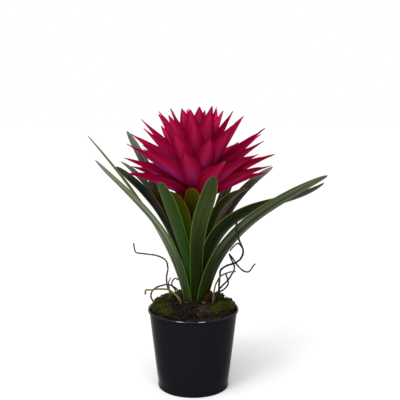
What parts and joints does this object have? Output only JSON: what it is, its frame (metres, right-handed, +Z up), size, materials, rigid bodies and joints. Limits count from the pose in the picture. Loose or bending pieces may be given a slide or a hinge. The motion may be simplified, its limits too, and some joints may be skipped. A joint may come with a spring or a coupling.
{
  "type": "potted bromeliad",
  "caption": "Potted bromeliad: rosette of strap leaves with a crimson head of pointed bracts, wiry air roots, and mossy soil in a tapered glossy pot.",
  "frame": {"origin": "centre of the pot's flat underside", "axes": "+Z up through the plant, -Y towards the front of the plant, +X to its right as seen from the front"},
  "size_m": [0.3002, 0.2793, 0.386],
  "materials": {
    "pot_plastic": "glossy black, smooth",
    "soil": "crumbly dark potting soil with fibres",
    "moss": "fine matt moss, olive green",
    "stem": "fibrous green stem",
    "leaf": "waxy dark green with fine parallel veins and a pale margin",
    "inner_leaf": "waxy yellow-green with an orange-red margin",
    "sheath": "dull red-brown leaf base",
    "bract": "satin crimson with pale pink bases",
    "root_dark": "dark wiry root",
    "root_pale": "pale olive root"
  },
  "bodies": {
    "root": {"pot": "pot_plastic", "soil": "soil", "moss_left": "moss", "moss_right": "moss", "moss_back": "moss", "stem": "stem", "leaf_right_front": "leaf", "leaf_left_long": "leaf", "leaf_left_edge": "leaf", "leaf_back_right_low": "leaf", "leaf_back_low": "leaf", "leaf_front_centre": "leaf", "leaf_left_dark": "leaf", "leaf_right_back": "leaf", "leaf_back_left_high": "leaf", "leaf_back_right_tall": "leaf", "leaf_front_left": "leaf", "leaf_back_left_low": "leaf", "leaf_back_right_high": "leaf", "leaf_inner_left": "inner_leaf", "leaf_inner_front_left": "inner_leaf", "leaf_inner_right_front": "inner_leaf", "leaf_inner_right": "inner_leaf", "leaf_inner_back_right": "inner_leaf", "leaf_inner_front": "inner_leaf", "leaf_inner_back": "inner_leaf", "basal_sheath": "sheath", "bract_head": "bract", "root_left_tall": "root_dark", "root_left_arch": "root_dark", "root_left_pale": "root_pale", "root_left_loop": "root_dark", "root_left_stub": "root_pale", "root_right_curl": "root_dark", "root_right_hairpin": "root_dark", "root_right_olive": "root_pale", "root_right_bow": "root_dark"}
  },
  "joints": []
}
